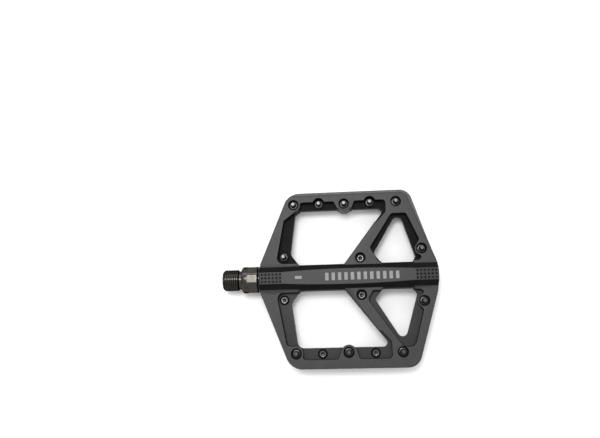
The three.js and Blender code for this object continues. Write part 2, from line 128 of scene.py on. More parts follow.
STUD_END = 48.2
BEARINGS = {"inner": 30.3, "outer": 35.6}  # where each starts
BEARING_WIDTH = 5.0
OUTER_RACE = (5.6, 6.5)
INNER_RACE = (3.15, 4.1)
SHIELD = (4.3, 5.45)
SHIELD_THICK = 0.6
SHIELD_INSET = 0.2
BALL_CIRCLE = 4.85
BALL_RADIUS = 0.62
BALL_COUNT = 7
WASHER = (40.9, 41.8)
NUT = (42.1, 46.9)
STUD_CLEARANCE = 3.15  # inside of the washer and the nut
CAP = (50.6, 57.8)
CAP_RADIUS = 6.9
CAP_GROOVE = (52.0, 53.6)
CAP_KEY = 3.0  # from the axis to a flat of the hexagon socket

PIN_HEIGHT = 5.6
PIN_TIP = 1.5
PIN_SHANK = 2.05
SHORT_SHANK = 3.1
LONG_SHANK = 5.4
PIN_FLANGE = 2.7  # from the axis to a flat of the hexagon
PIN_KEY = 1.25  # from the axis to a flat of the hexagon socket
PIN_HOLE = 2.2
COUNTERBORE = 3.3
LEDGE_RING = 3.65  # outside of the groove round a flange that stands on a ledge
LEDGE_RING_WIDTH = 0.6
LEDGE_RING_DEPTH = 0.7
LEDGE_SOCKET_DEPTH = 1.2  # of the counterbore on the face away from such a flange
BOSS_SEAT = 3.4

TEXTURED = 0  # index of each nylon finish on the platform
# The smooth finish is the darkest one: painted shade on walls, slopes, holes, dimples and shaded
# recess floors.
SMOOTH_SHADED = 1
SATIN = 2

# The frame's origin is the middle of the whole pedal, so the platform's crank end gives the shift.
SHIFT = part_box("platform")[0].x / MM - CRANK_END
INTO_FRAME = Matrix.Scale(MM, 4) @ Matrix.Translation((SHIFT, 0, 0))
RECORD = frame["record"]
BODY_OF = {
    node: body for body, nodes in RECORD["behaviour"]["bodies"].items() for node in nodes
}
SLOT_OF = {row["node"]: row["material_slot"] for row in RECORD["subparts"]}


# ---- camera, light and floor, in metres ----

STAND_AT = Vector((0.0168, -0.0421, 0.4293))
LOOK_AT = Vector((-0.0189, 0.0409, 0.0))
ROLL = math.radians(-1.3)
LENS = 38.4  # the camera's lens and sensor are in millimetres
SENSOR_WIDTH = 36
FLOOR_REACH = 3.0


def add_object(name, data):
    item = bpy.data.objects.new(name, data)
    bpy.context.scene.collection.objects.link(item)
    return item


def make_camera():
    data = bpy.data.cameras.new("camera")
    data.sensor_width = SENSOR_WIDTH
    data.lens = LENS
    camera = add_object("camera", data)
    ahead = (LOOK_AT - STAND_AT).normalized()
    right = ahead.cross(Vector((0, 1, 0))).normalized()
    up = right.cross(ahead)
    turn = Matrix((right, up, -ahead)).transposed().to_4x4()
    camera.matrix_world = Matrix.Translation(STAND_AT) @ turn @ Matrix.Rotation(ROLL, 4, "Z")
    bpy.context.scene.camera = camera


def softbox(name, place, size, power):
    """A rectangular light that faces the origin."""
    data = bpy.data.lights.new(name, "AREA")
    data.shape = "RECTANGLE"
    data.size, data.size_y = size
    data.energy = power
    light = add_object(name, data)
    light.location = place
    light.rotation_mode = "QUATERNION"
    light.rotation_quaternion = Vector(place).to_track_quat("Z", "Y")


def make_studio():
    """White surroundings and two softboxes."""
    scene = bpy.context.scene
    scene.view_settings.view_transform = "Standard"
    world = bpy.data.worlds.new("studio")
    world.use_nodes = True
    sky = world.node_tree.nodes["Background"]
    sky.inputs["Color"].default_value = (1, 1, 1, 1)
    sky.inputs["Strength"].default_value = 1.0
    scene.world = world
    softbox("overhead", place=(-0.08, 0.23, 1.0), size=(0.38, 0.28), power=5.9)
    softbox("window", place=(-0.1, 1.0, 0.75), size=(1.2, 0.5), power=4.2)


def make_floor():
    """A sheet of pale paper under the pins that the pedal lies on."""
    mesh = bpy.data.meshes.new("floor")
    sides = ((-1, -1), (1, -1), (1, 1), (-1, 1))
    corners = [(x * FLOOR_REACH, y * FLOOR_REACH, cad_low.z) for x, y in sides]
    mesh.from_pydata(corners, [], [(0, 1, 2, 3)])
    floor = add_object("floor", mesh)
    paper, _, _, shader = new_look("paper")
    shader.inputs["Base Color"].default_value = (0.90, 0.90, 0.90, 1)
    shader.inputs["Roughness"].default_value = 0.9
    shader.inputs["Specular IOR Level"].default_value = 0.1
    mesh.materials.append(paper)


# ---- finishes ----

# Cells per metre of the broad unevenness in a colour, and depths in metres of the fine relief.
MOTTLE_CELLS = 220
METAL_TONE_CELLS = 260
SPECKLE_CELLS = 1500
GRAIN_DEPTH = 0.00006
METAL_DEPTH = 0.00002
ROUGHNESS_SWING = 0.06
TONE_WOBBLE = 0.4  # how far speckle moves the border of a pin's painted highlights, in millimetres


def new_look(name):
    """A new material, with its nodes, its links and its shader."""
    look = bpy.data.materials.new(name)
    look.use_nodes = True
    nodes, links = look.node_tree.nodes, look.node_tree.links
    return look, nodes, links, nodes["Principled BSDF"]


def noise(nodes, links, scale, stretch=(1, 1, 1), detail=2.0):
    """A noise texture in the piece's own coordinates; scale is in cells per metre."""
    place = nodes.new("ShaderNodeTexCoord")
    mapping = nodes.new("ShaderNodeMapping")
    mapping.inputs["Scale"].default_value = stretch
    texture = nodes.new("ShaderNodeTexNoise")
    texture.inputs["Scale"].default_value = scale
    texture.inputs["Detail"].default_value = detail
    links.new(place.outputs["Object"], mapping.inputs["Vector"])
    links.new(mapping.outputs["Vector"], texture.inputs["Vector"])
    return texture.outputs["Fac"]


def spread(nodes, links, value, low, high, start=0.3, end=0.7):
    """Maps a value from start to end, by default a noise's, onto low to high."""
    ranger = nodes.new("ShaderNodeMapRange")
    ranger.inputs["From Min"].default_value = start
    ranger.inputs["From Max"].default_value = end
    ranger.inputs["To Min"].default_value = low
    ranger.inputs["To Max"].default_value = high
    links.new(value, ranger.inputs["Value"])
    return ranger.outputs["Result"]


def two_tone(nodes, links, value, dark, light, start=0.3, end=0.7):
    """A colour that goes from dark to light as a value goes from start to end."""
    ramp = nodes.new("ShaderNodeValToRGB")
    ramp.color_ramp.elements[0].position = start
    ramp.color_ramp.elements[0].color = (*dark, 1)
    ramp.color_ramp.elements[1].position = end
    ramp.color_ramp.elements[1].color = (*light, 1)
    links.new(value, ramp.inputs["Fac"])
    return ramp.outputs["Color"]


def bump(nodes, links, shader, height, strength, distance):
    """Gives a shader a fine relief; distance is in metres."""
    bumper = nodes.new("ShaderNodeBump")
    bumper.inputs["Strength"].default_value = strength
    bumper.inputs["Distance"].default_value = distance
    links.new(height, bumper.inputs["Height"])
    links.new(bumper.outputs["Normal"], shader.inputs["Normal"])


def moulded(name, dark, light, roughness, specular, grain_scale, grain_strength):
    """Nylon or rubber: a slightly mottled colour, with a fine grain."""
    look, nodes, links, shader = new_look(name)
    mottle = noise(nodes, links, MOTTLE_CELLS, detail=4)
    links.new(two_tone(nodes, links, mottle, dark, light), shader.inputs["Base Color"])
    grain = noise(nodes, links, grain_scale, detail=3)
    low, high = roughness - ROUGHNESS_SWING, roughness + ROUGHNESS_SWING
    links.new(spread(nodes, links, grain, low, high), shader.inputs["Roughness"])
    shader.inputs["Specular IOR Level"].default_value = specular
    bump(nodes, links, shader, grain, grain_strength, GRAIN_DEPTH)
    return look


def turned_metal(name, dark, light, roughness, ring_scale, ring_strength):
    """Metal with fine rings round X from turning, and a slightly uneven tone."""
    look, nodes, links, shader = new_look(name)
    shader.inputs["Metallic"].default_value = 1
    shader.inputs["Specular Tint"].default_value = (0.3, 0.3, 0.3, 1)
    tone = noise(nodes, links, METAL_TONE_CELLS, stretch=(3, 1, 1), detail=3)
    links.new(two_tone(nodes, links, tone, dark, light), shader.inputs["Base Color"])
    rings = noise(nodes, links, ring_scale, stretch=(1, 0.02, 0.02), detail=2)
    low, high = roughness - 0.03, roughness + 0.04
    links.new(spread(nodes, links, rings, low, high), shader.inputs["Roughness"])
    bump(nodes, links, shader, rings, ring_strength, METAL_DEPTH)
    return look


def pin_metal():
    """Dark steel with painted highlights, lighter at the tip and most at the socket end; its own Z is
    its axis.

    Places on the ramp run from 0 at a long pin's socket end to 1 at the tip, so a short pin's socket
    end stays dark.
    """
    look, nodes, links, shader = new_look("pin_steel")
    shader.inputs["Metallic"].default_value = 1
    place = nodes.new("ShaderNodeTexCoord")
    split = nodes.new("ShaderNodeSeparateXYZ")
    links.new(place.outputs["Object"], split.inputs["Vector"])
    speckle = noise(nodes, links, SPECKLE_CELLS, detail=2)
    height = nodes.new("ShaderNodeMath")
    height.operation = "MULTIPLY_ADD"
    height.inputs[1].default_value = TONE_WOBBLE * MM
    links.new(speckle, height.inputs[0])
    links.new(split.outputs["Z"], height.inputs[2])
    low, high = -PIN_HEIGHT * MM, (PIN_HEIGHT + TONE_WOBBLE) * MM
    along = spread(nodes, links, height.outputs["Value"], 0, 1, low, high)
    # The lighter socket end and tip are painted highlights on the dark steel.
    socket_end_highlight = (0.085, 0.085, 0.087)
    dark = (0.027, 0.027, 0.0277)
    tip = (0.056, 0.056, 0.0575)
    colour = two_tone(nodes, links, along, dark, tip, 0.88, 0.97)
    ramp = colour.node.color_ramp
    ramp.elements.new(0.12).color = (*dark, 1)
    ramp.elements.new(0.06).color = (*socket_end_highlight, 1)
    links.new(colour, shader.inputs["Base Color"])
    links.new(spread(nodes, links, speckle, 0.20, 0.32), shader.inputs["Roughness"])
    bump(nodes, links, shader, speckle, 0.15, METAL_DEPTH)
    return look


# Rows of dark, light, roughness, specular level, cells of grain per metre and strength of the grain.
MOULDED = {
    "textured_nylon": ((0.0165, 0.0165, 0.0168), (0.0215, 0.0215, 0.0218), 0.47, 0.30, 2600, 0.35),
    # The smooth row is far darker and has hardly any sheen. It is painted shade for walls, slopes,
    # holes, dimples, shaded recess floors and the end cap in the bore's mouth.
    "smooth_shaded_nylon": ((0.006, 0.006, 0.0062), (0.008, 0.008, 0.0082), 0.40, 0.02, 1400, 0.08),
    "satin_nylon": ((0.012, 0.012, 0.0122), (0.015, 0.015, 0.0152), 0.45, 0.22, 1800, 0.2),
    "nitrile": ((0.002, 0.002, 0.002), (0.004, 0.004, 0.004), 0.2, 0.36, 1800, 0.1),
    "faint_print": ((0.06, 0.06, 0.06), (0.10, 0.10, 0.10), 0.5, 0.3, 1800, 0.10),
    "print": ((0.17, 0.17, 0.17), (0.21, 0.21, 0.21), 0.55, 0.4, 1800, 0.10),
}
# Rows of dark, light, roughness, rings per metre and strength of the rings.
TURNED = {
    "spindle_steel": ((0.047, 0.044, 0.039), (0.064, 0.060, 0.054), 0.22, 3500, 0.01),
    "bearing_steel": ((0.50, 0.50, 0.51), (0.60, 0.60, 0.61), 0.20, 3000, 0.10),
    "bronze": ((0.30, 0.20, 0.10), (0.42, 0.30, 0.16), 0.42, 2500, 0.20),
}
LOOKS = {name: moulded(name, *row) for name, row in MOULDED.items()}
LOOKS.update({name: turned_metal(name, *row) for name, row in TURNED.items()})
LOOKS["pin_steel"] = pin_metal()
NYLON = ("textured_nylon", "smooth_shaded_nylon", "satin_nylon")  # in the order of the finish indices above: textured, smooth, satin


# ---- mesh helpers ----

def solid(name, points, faces, finish=TEXTURED):
    """A closed body from points in millimetres, with its faces pointing out."""
    mesh = bpy.data.meshes.new(name)
    mesh.from_pydata(points, [], faces)
    for look in NYLON:
        mesh.materials.append(LOOKS[look])
    work = bmesh.new()
    work.from_mesh(mesh)
    bmesh.ops.recalc_face_normals(work, faces=work.faces)
    for face in work.faces:
        face.material_index = finish
    work.to_mesh(mesh)
    work.free()
    return add_object(name, mesh)


def skin(name, rings, closed=False, finish=TEXTURED):
    """A body through rings of points: closed on itself, or with a flat cap at each end."""
    count = len(rings[0])
    points = [point for ring in rings for point in ring]
    faces = []
    for r in range(len(rings) if closed else len(rings) - 1):
        here, there = r * count, (r + 1) % len(rings) * count
        for i in range(count):
            j = (i + 1) % count
            faces.append((here + i, here + j, there + j, there + i))
    if not closed:
        faces.append(tuple(range(count)))
        faces.append(tuple(range(len(points) - count, len(points))))
    return solid(name, points, faces, finish)


def prism(name, outline, low, high, finish=SMOOTH_SHADED):
    """An upright body over an outline, from one height to another."""
    rings = [[(p.x, p.y, z) for p in outline] for z in (low, high)]
    return skin(name, rings, finish=finish)


def turned(name, profile, segments=96, closed=False, finish=TEXTURED):
    """Turns rows of (place, radius) about X. A radius may be a function of the angle."""
    rings = []
    for x, radius in profile:
        ring = []
        for k in range(segments):
            angle = math.tau * k / segments
            r = radius(angle) if callable(radius) else radius
            ring.append((x, r * math.cos(angle), r * math.sin(angle)))
        rings.append(ring)
    return skin(name, rings, closed, finish)


def stood_up(body, x=0.0, y=0.0):
    """Turns a body made along X so that it stands along Z, over the point x, y."""
    body.data.transform(Matrix.Translation((x, y, 0)) @ Matrix.Rotation(-math.pi / 2, 4, "Y"))
    return body


def settle(body):
    """Makes the body's modifiers part of its mesh."""
    graph = bpy.context.evaluated_depsgraph_get()
    mesh = bpy.data.meshes.new_from_object(body.evaluated_get(graph))
    body.modifiers.clear()
    body.data = mesh


def combine(body, tool, operation):
    """Cuts a tool out of a body, or joins it on, and throws the tool away."""
    modifier = body.modifiers.new("combine", "BOOLEAN")
    modifier.object = tool
    modifier.operation = operation
    modifier.solver = "MANIFOLD"
    settle(body)
    bpy.data.objects.remove(tool)


def rounded(corners, step=6.0):
    """The outline of a polygon given as (x, y, radius) corners, with arcs for the round ones."""
    points = []
    for i, (x, y, radius) in enumerate(corners):
        corner = Vector((x, y))
        if not radius:
            points.append(corner)
            continue
        back = (Vector(corners[i - 1][:2]) - corner).normalized()
        ahead = (Vector(corners[(i + 1) % len(corners)][:2]) - corner).normalized()
        half = back.angle(ahead) / 2
        centre = corner + (back + ahead).normalized() * (radius / math.sin(half))
        first = corner + back * (radius / math.tan(half)) - centre
        last = corner + ahead * (radius / math.tan(half)) - centre
        turn = math.atan2(first.x * last.y - first.y * last.x, first.dot(last))
        steps = max(2, math.ceil(abs(math.degrees(turn)) / step))
        for k in range(steps + 1):
            points.append(centre + Matrix.Rotation(turn * k / steps, 2) @ first)
    return points


def grown(outline, by):
    """The outline moved outwards by a distance; it runs anticlockwise."""
    points = []
    for i, point in enumerate(outline):
        back = (point - outline[i - 1]).normalized()
        ahead = (outline[(i + 1) % len(outline)] - point).normalized()
        normal = Vector((back.y + ahead.y, -back.x - ahead.x)).normalized()
        points.append(point + normal * (by / max(normal.dot(Vector((back.y, -back.x))), 0.4)))
    return points


def rectangle(x0, x1, half_width):
    """The outline of a rectangle along X with slightly rounded corners."""
    sides = ((x0, -half_width), (x1, -half_width), (x1, half_width), (x0, half_width))
    return rounded([(x, y, 0.3) for x, y in sides], 30)


def anticlockwise(outline):
    """The outline itself, or reversed if it runs clockwise."""
    area = sum(outline[i - 1].cross(point) for i, point in enumerate(outline))
    return outline if area > 0 else outline[::-1]


def face_cutter(name, outline, floor, face, floor_finish=SMOOTH_SHADED):
    """Cuts from a floor height out through the top (face 1) or the underside (face -1)."""
    outline = anticlockwise(outline)
    levels = [(floor, 0.0)] + [
        (HALF_THICK - EDGE_ROUNDING * below, EDGE_ROUNDING * growth) for below, growth in OPENING
    ]
    rings = [[(p.x, p.y, face * z) for p in grown(outline, by)] for z, by in levels]
    # Its walls, and by default its floor, take the darker smooth finish: painted shade in the cut.
    cutter = skin(name, rings, finish=SMOOTH_SHADED)
    floor_cap = cutter.data.polygons[-2]  # a skin's two caps come last
    floor_cap.material_index = floor_finish
    return cutter


def flipped(outline):
    """The same outline on the other side of the spindle line."""
    return [Vector((p.x, -p.y)) for p in reversed(outline)]


def finish_piece(body, node, look, sharp_over=30.0):
    """Brings a piece into the frame, shades it, and lets it stand for its CAD node."""
    body.name = "fine_" + node
    body.data.transform(INTO_FRAME)
    dress(body, look, sharp_over)
    stand_for(body, node)


def stand_for(piece, node):
    """Puts a piece in its CAD node's place, on its body, and hides the node."""
    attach(piece, BODY_OF[node])
    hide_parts(node)


def dress(body, look, sharp_over):
    """Gives a body its look, or leaves it the nylon finishes it was made with if look is None."""
    if look:
        body.data.materials.clear()
        body.data.materials.append(LOOKS[look])
    work = bmesh.new()
    work.from_mesh(body.data)
    limit = math.radians(sharp_over)
    for face in work.faces:
        face.smooth = True
    for edge in work.edges:
        edge.smooth = len(edge.link_faces) == 2 and edge.calc_face_angle() < limit
    work.to_mesh(body.data)
    work.free()


def progress(value, start, end):
    """0 up to start, 1 from end on, and even in between."""
    return min(max((value - start) / (end - start), 0), 1)


def hexagon(flat_distance, limit=None):
    """A hexagon's radius as a function of the angle, kept under a limit if one is given."""
    def radius(angle):
        off = (angle + math.pi / 6) % (math.pi / 3) - math.pi / 6
        reach = flat_distance / math.cos(off)
        return reach if limit is None else min(reach, limit)
    return radius


# ---- platform ----

PIN_PLACES = {
    "1": (-35.6, 49.5),
    "2": (-18.5, 49.9),
    "3": (-1.4, 49.2),
    "4": (16.0, 49.9),
    "5": (33.4, 49.5),
    "inner": (-43.0, 14.4),
    "brace": (8.3, 12.3),
    "outer": (48.8, 17.2),
}
LEDGE_PINS = ("2", "4", "inner")  # the long pins that stand on the floor of a recess
RAIL_BOSSES = {"1": 4.6, "3": 4.9, "outer": 4.5}  # radii

# Windows and recesses are outlines of (x, y, radius) corners, on the side of Y above 0.
LARGE_WINDOW = (
    (-31.8, 7.5, 0), (-3.2, 7.5, 0), (26.5, 46, 2.6), (-34.6, 46, 4.2), (-38.6, 16.2, 5),
)
SMALL_WINDOW = (
    (23.2, 7.5, 0), (42, 7.5, 0), (44.9, 12.4, 2.5), (35, 44.6, 3.5), (17, 15.2, 2),
)


def recesses(rail_corners, rail_edge, small_window_recess):
    """The four recesses beside one rail, by what differs between the sloped and the upright side."""
    return (
        ((-33, RIM, 0), (-30, 14, 0), *rail_corners, (-47.9, RIM, 4)),
        ((-32, 44, 0), (-5.2, 44, 0), (-8.4, rail_edge, 1.6), (-31, rail_edge, 2.4)),
        (
            (3, 44, 0), (20, 36, 0), (26.1, 42.6, 1.5),
            (26.4, rail_edge, 2.2), (5.8, rail_edge, 1.6),
        ),
        small_window_recess,
    )


# On the sloped side, a slanted edge under pin 1 cuts the first recess off.
SLOPED_SIDE_RECESSES = recesses(
    rail_corners=((-30, 47.4, 0), (-31.2, 47.1, 0), (-42.2, 38.7, 1.6)),
    rail_edge=50.8,
    small_window_recess=(
        (20, RIM, 0), (46.8, RIM, 1.2), (48.4, 11.4, 1), (44.4, 16, 0), (44.4, 18.8, 0),
        (47.4, 23.2, 1.2), (39.6, 41.2, 2.4), (30, 41.2, 2.4), (15, 18.8, 2.2),
    ),
)
UPRIGHT_SIDE_RECESSES = recesses(
    rail_corners=((-30, 40, 0), (-32, 44.4, 0), (-41.5, 44.4, 2.6)),
    rail_edge=53.3,
    small_window_recess=(
        (15.8, RIM, 1.6), (46.8, RIM, 1.2), (48.8, 11.4, 1), (44.6, 16, 0), (44.6, 18.8, 0),
        (47.9, 23, 1.2), (41.3, 46.2, 4.4), (34, 46.2, 4.4), (12.4, 15.6, 3.4),
    ),
)


def outer_end_x(y):
    """The outer end is a shallow arc across the pedal."""
    return OUTER_END - y * y / (2 * OUTER_END_ARC)


def slope_fade(x, y):
    """How much of the rail's slope a point takes: it fades towards the crank end and the spindle."""
    return min(progress(x, *SLOPE_FADE_ALONG), progress(y, *SLOPE_FADE_ACROSS))


def slope_at(height):
    """How far in the sloped side of a rail is at a height, as a share of RAIL_SLOPE."""
    for (top, inner), (bottom, outer) in zip(SLOPE_LEVELS, SLOPE_LEVELS[1:]):
        if height >= bottom:
            return outer + (inner - outer) * (height - bottom) / (top - bottom)
    return 0.0


def platform_blank():
    """The platform's outer shape, with one rail sloped on each face and no openings.

    The first and the last corner lie on the spindle line and only aim the sides next to them. The
    corners beyond the outer end are for end_trim to cut off.
    """
    corners = (
        (CRANK_END, 0, 0), (CRANK_END, 9.6, 1.5), (-39.2, HALF_WIDTH, 11.5),
        (43, HALF_WIDTH, 9), (60.059, 4, 0), (60.059, 0, 0),
    )
    half = rounded(corners, 4.0)[1:-1]
    lower = [Vector((p.x, -p.y)) for p in half]
    outline = lower + half[::-1]
    rounding = [
        (HALF_THICK - EDGE_ROUNDING * below, EDGE_ROUNDING * inward) for below, inward in EDGE_STEPS
    ]
    levels = [(-height, by) for height, by in rounding]
    levels += [(height, 0.0) for height, _ in reversed(SLOPE_LEVELS[1:-1])]
    levels += [(height, by) for height, by in reversed(rounding)]
    rings = []
    for height, by in levels:
        ring = []
        for i, point in enumerate(outline):
            along = (outline[(i + 1) % len(outline)] - outline[i - 1]).normalized()
            side = slope_at(height if point.y > 0 else -height)
            inset = RAIL_SLOPE * side * slope_fade(point.x, abs(point.y)) + by
            ring.append((point.x - along.y * inset, point.y + along.x * inset, height))
        rings.append(ring)
    body = skin("platform", rings)
    # The faces come band by band from the underside up, and the two flat faces come last.
    bands = len(levels) - 1
    rounded_bands = len(EDGE_STEPS) - 1
    # The rounded edge bands take the darker satin finish: a thin painted crease shade round the
    # outline.
    for face in body.data.polygons:
        band = face.index // len(outline)
        if band < rounded_bands or bands - rounded_bands <= band < bands:
            face.material_index = SATIN
    return body


def flat_half_width(x):
    """Half the width of the barrel's flat top, which narrows towards both ends."""
    along = progress(abs(x), 0, BARREL_TAPER)
    return BARREL_FLAT_MIDDLE + (BARREL_FLAT_END - BARREL_FLAT_MIDDLE) * along * along


def barrel():
    """The raised barrel round the spindle: flat on top, with smooth sloped sides."""
    steps = 8
    tapered = [BARREL_TAPER * k / steps for k in range(-steps, steps + 1)]
    stations = [CRANK_END, *tapered, OUTER_END + PAST_END / 2]
    rings = []
    for x in stations:
        flat = flat_half_width(x)
        quarter = [
            (BARREL_HALF_WIDTH, BARREL_SHOULDER), (flat + 0.22, BARREL_HEIGHT - 0.21),
            (flat + 0.09, BARREL_HEIGHT - 0.05), (flat - 0.1, BARREL_HEIGHT),
        ]
        section = quarter + [(-y, z) for y, z in reversed(quarter)]
        section += [(-y, -z) for y, z in section]
        rings.append([(x, y, z) for y, z in section])
    # The sloped sides keep the darker smooth finish as painted shade; the flat tops take the textured
    # one.
    body = skin("barrel", rings, finish=SMOOTH_SHADED)
    for face in body.data.polygons:
        if abs(face.normal.z) > 0.95:
            face.material_index = TEXTURED
    return body


def end_trim():
    """Cuts the blank and the barrel to the arc of the outer end."""
    reach, steps = 14.0, 16
    across = [reach * k / steps for k in range(-steps, steps + 1)]
    outline = [Vector((outer_end_x(y), y)) for y in across]
    outline += [Vector((OUTER_END + PAST_END, y)) for y in (reach, -reach)]
    return prism("end_trim", outline[::-1], -reach, reach, TEXTURED)


def upright_rod(x, y, low, high, radius, segments):
    """A plain cylinder over the point x, y."""
    return stood_up(turned("rod", ((low, radius), (high, radius)), segments, finish=SMOOTH_SHADED), x, y)


def rail_boss(name, side):
    """The round boss of a pin whose edge stands out into a window or a recess."""
    x, across = PIN_PLACES[name]
    radius, chamfer = RAIL_BOSSES[name], 0.2
    edge = HALF_THICK - chamfer
    profile = (
        (-HALF_THICK, radius - chamfer), (-edge, radius), (edge, radius),
        (HALF_THICK, radius - chamfer),
    )
    return stood_up(turned("boss", profile, 56), x, side * across)


def bore():
    """The bore for the seal, bush, bearings and cap, open at both ends."""
    seal, bush, shaft, bearing, cap, mouth = 7.2, 6.35, 5.6, 6.65, 7.1, 7.7
    seal_step, bush_step = SEAL_NOSE + 0.4, BUSH[1] + 0.4
    bearing_step, cap_step = BEARINGS["inner"] - 0.2, CAP[0] - 0.2
    profile = (
        (CRANK_END - PAST_END, seal), (seal_step, seal), (seal_step, bush), (bush_step, bush),
        (bush_step, shaft), (bearing_step, shaft), (bearing_step, bearing), (cap_step, bearing),
        (cap_step, cap), (OUTER_END - 0.9, cap), (OUTER_END - 0.2, mouth),
        (OUTER_END + PAST_END, mouth),
    )
    return turned("bore", profile, 72, finish=SMOOTH_SHADED)


def pin_direction(rail, name):
    """Which face a long pin stands on: 1 for the top, -1 for the underside."""
    return -1 if name == "brace" else rail


def well(x, y, floor, radius, face):
    """A round cutter from a floor out through a face, with a rounded edge at the face."""
    steps, spoke = 48, Vector((radius, 0))
    turns = [Matrix.Rotation(math.tau * k / steps, 2) for k in range(steps)]
    return face_cutter("well", [Vector((x, y)) + turn @ spoke for turn in turns], floor, face)


def cut_pin_seats(body):
    """A counterbore on both faces at each pin, and a hole for its shank.

    Where a pin stands on a ledge, the counterbore is a groove with an island in it for the flange.
    """
    for rail in (1, -1):
        for name, (x, across) in PIN_PLACES.items():
            y = rail * across
            seat = LEDGE if name in LEDGE_PINS else BOSS_SEAT
            for face in (1, -1):
                floor, radius = seat, COUNTERBORE
                on_ledge = name in LEDGE_PINS and pin_direction(rail, name) == face
                if on_ledge:
                    floor, radius = seat - LEDGE_RING_DEPTH, LEDGE_RING
                elif name in LEDGE_PINS:
                    floor = seat - LEDGE_SOCKET_DEPTH
                combine(body, well(x, y, floor, radius, face), "DIFFERENCE")
                if on_ledge:
                    ends = sorted((face * (floor - 0.5), face * seat))
                    island = upright_rod(x, y, *ends, LEDGE_RING - LEDGE_RING_WIDTH, 48)
                    combine(body, island, "UNION")
            combine(body, upright_rod(x, y, -seat - 1, seat + 1, PIN_HOLE, 32), "DIFFERENCE")


GRIP_PATCHES = ((-57.8, -44.6), (44.4, 57.6))
GRIP_DEPTH = 0.12
GRIP_MARGIN = 0.35  # from a patch to the side of the barrel's flat
GRIP_COLUMNS = 6
GRIP_PITCH_X = 2.45
GRIP_PITCH_Y = 2.4
DIMPLE = ((-0.35, 0.425), (0.5, 1.0625))  # rows of (height over the patch, radius)


def cut_grip_patches(body):
    """At each end of the barrel's flats, a shallow patch with three rows of dimples."""
    patch_top = BARREL_HEIGHT - GRIP_DEPTH
    half = BARREL_FLAT_END - GRIP_MARGIN
    for x0, x1 in GRIP_PATCHES:
        for face in (1, -1):
            near, far = sorted((face * patch_top, face * (BARREL_HEIGHT + 1)))
            patch = prism("patch", rectangle(x0, x1, half), near, far, SATIN)
            combine(body, patch, "DIFFERENCE")
            profile = sorted((face * (patch_top + height), radius) for height, radius in DIMPLE)
            for k in range(GRIP_COLUMNS):
                x = (x0 + x1) / 2 + (k - (GRIP_COLUMNS - 1) / 2) * GRIP_PITCH_X
                for row in (-1, 0, 1):
                    # The dimples take the darker smooth finish, which paints shade in them.
                    dimple = turned("dimple", profile, 12, finish=SMOOTH_SHADED)
                    combine(body, stood_up(dimple, x, row * GRIP_PITCH_Y), "DIFFERENCE")


MERGE_DISTANCE = 0.002
FLAT_ANGLE = math.radians(0.3)


def tidy_mesh(body):
    """Melts away the flat edges and slivers that cutting leaves."""
    work = bmesh.new()
    work.from_mesh(body.data)
    bmesh.ops.remove_doubles(work, verts=work.verts, dist=MERGE_DISTANCE)
    bmesh.ops.dissolve_limit(
        work, angle_limit=FLAT_ANGLE, verts=work.verts, edges=work.edges, delimit={"MATERIAL"}
    )
    bmesh.ops.triangulate(work, faces=work.faces, quad_method="BEAUTY", ngon_method="BEAUTY")
    work.to_mesh(body.data)
    work.free()


def platform():
    """The moulding: everything is cut out of the blank or joined on to it, on both faces."""
    body = platform_blank()
    past_middle = -0.5
    for corners in (LARGE_WINDOW, SMALL_WINDOW):
        outline = rounded(corners)
        for shape in (outline, flipped(outline)):
            for face in (1, -1):
                combine(body, face_cutter("window", shape, past_middle, face), "DIFFERENCE")
    # The recess floors beside the sloped rails take the darker smooth finish, and those beside the
    # upright rails take the satin one. This is painted shade on the floors that the rail walls shade.
    for corners in SLOPED_SIDE_RECESSES:
        outline = rounded(corners)
        combine(body, face_cutter("recess", outline, LEDGE, 1), "DIFFERENCE")
        combine(body, face_cutter("recess", flipped(outline), LEDGE, -1), "DIFFERENCE")
    for corners in UPRIGHT_SIDE_RECESSES:
        outline = rounded(corners)
        combine(body, face_cutter("recess", flipped(outline), LEDGE, 1, SATIN), "DIFFERENCE")
        combine(body, face_cutter("recess", outline, LEDGE, -1, SATIN), "DIFFERENCE")
    for name in RAIL_BOSSES:
        combine(body, rail_boss(name, 1), "UNION")
        combine(body, rail_boss(name, -1), "UNION")
    combine(body, barrel(), "UNION")
    combine(body, end_trim(), "DIFFERENCE")
    cut_pin_seats(body)
    combine(body, bore(), "DIFFERENCE")
    cut_grip_patches(body)
    tidy_mesh(body)
    finish_piece(body, "platform", None, 40)
    weighted = body.modifiers.new("even_shading", "WEIGHTED_NORMAL")
    weighted.keep_sharp = True


# ---- marks ----

PRINT_THICK = 0.06
SLOPE_MIDDLE = (0, 56.71, 4.15)  # halfway up the upper stretch of a sloped side
SLOPE_TILT = -0.955  # the turn about X from level to that stretch


def bar_row(count, start, pitch, length, half_width, height=0.0):
    """Thin upright bars in a row along X."""
    starts = [start + k * pitch for k in range(count)]
    outlines = [rectangle(x, x + length, half_width) for x in starts]
    return [prism("bar", outline, height, height + PRINT_THICK) for outline in outlines]


def printed(name, bars, look):
    """Joins bars into one piece, with the same bars turned half round the spindle line."""
    work = bmesh.new()
    for shape in bars:
        work.from_mesh(shape.data)
        shape.data.transform(Matrix.Rotation(math.pi, 4, "X"))
        work.from_mesh(shape.data)
        bpy.data.objects.remove(shape)
    mesh = bpy.data.meshes.new(name)
    work.to_mesh(mesh)
    work.free()
    mesh.transform(INTO_FRAME)
    piece = add_object(name, mesh)
    dress(piece, look, 30)
    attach(piece, "platform")


